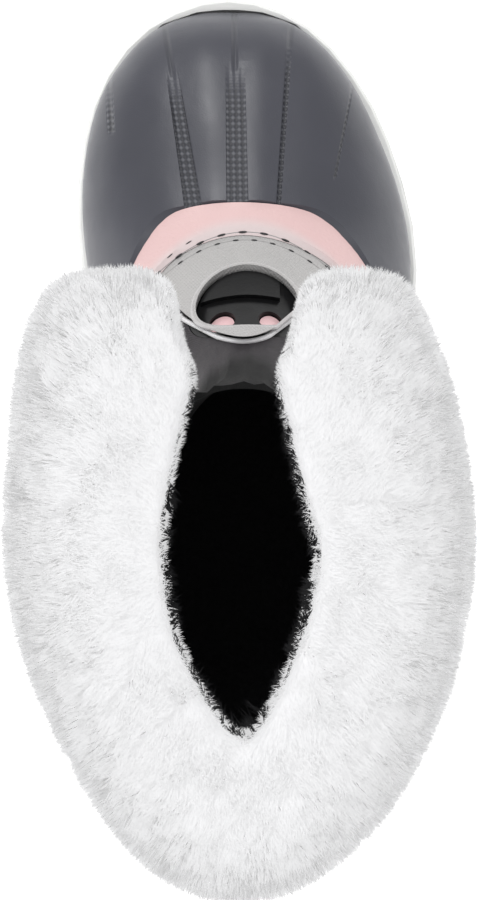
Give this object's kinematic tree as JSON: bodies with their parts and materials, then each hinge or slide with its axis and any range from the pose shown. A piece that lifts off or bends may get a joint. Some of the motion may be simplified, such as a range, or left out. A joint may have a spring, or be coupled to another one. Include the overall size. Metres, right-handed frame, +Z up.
{
  "type": "apres ski boot",
  "caption": "Right winter boot with a ribbed rubber shell over a lugged sole, a padded upper and a deep fur cuff open at the front.",
  "frame": {"origin": "on the flat underside of the heel, 35 mm in front of the heel end of the sole's plan", "axes": "+Y towards the heel, +Z up, +X towards the medial side; the toe points along -Y"},
  "size_m": [0.146, 0.2943, 0.216],
  "materials": {
    "outsole": "matt off-white moulded rubber",
    "insole": "black felt footbed",
    "upper": "light grey coated textile",
    "shell": "dark slate moulded rubber with a soft sheen",
    "vamp_band": "pale pink coated textile",
    "tongue": "black satin nylon",
    "throat_piping": "white bound edge",
    "throat_plate": "glossy black moulding",
    "throat_underlay": "pale pink textile",
    "fur_cuff": "deep white pile"
  },
  "bodies": {
    "root": {"outsole": "outsole", "insole": "insole", "upper": "upper", "shell": "shell", "vamp_band": "vamp_band", "tongue": "tongue", "throat_piping": "throat_piping", "throat_plate": "throat_plate", "throat_underlay": "throat_underlay", "fur_cuff": "fur_cuff"}
  },
  "joints": []
}
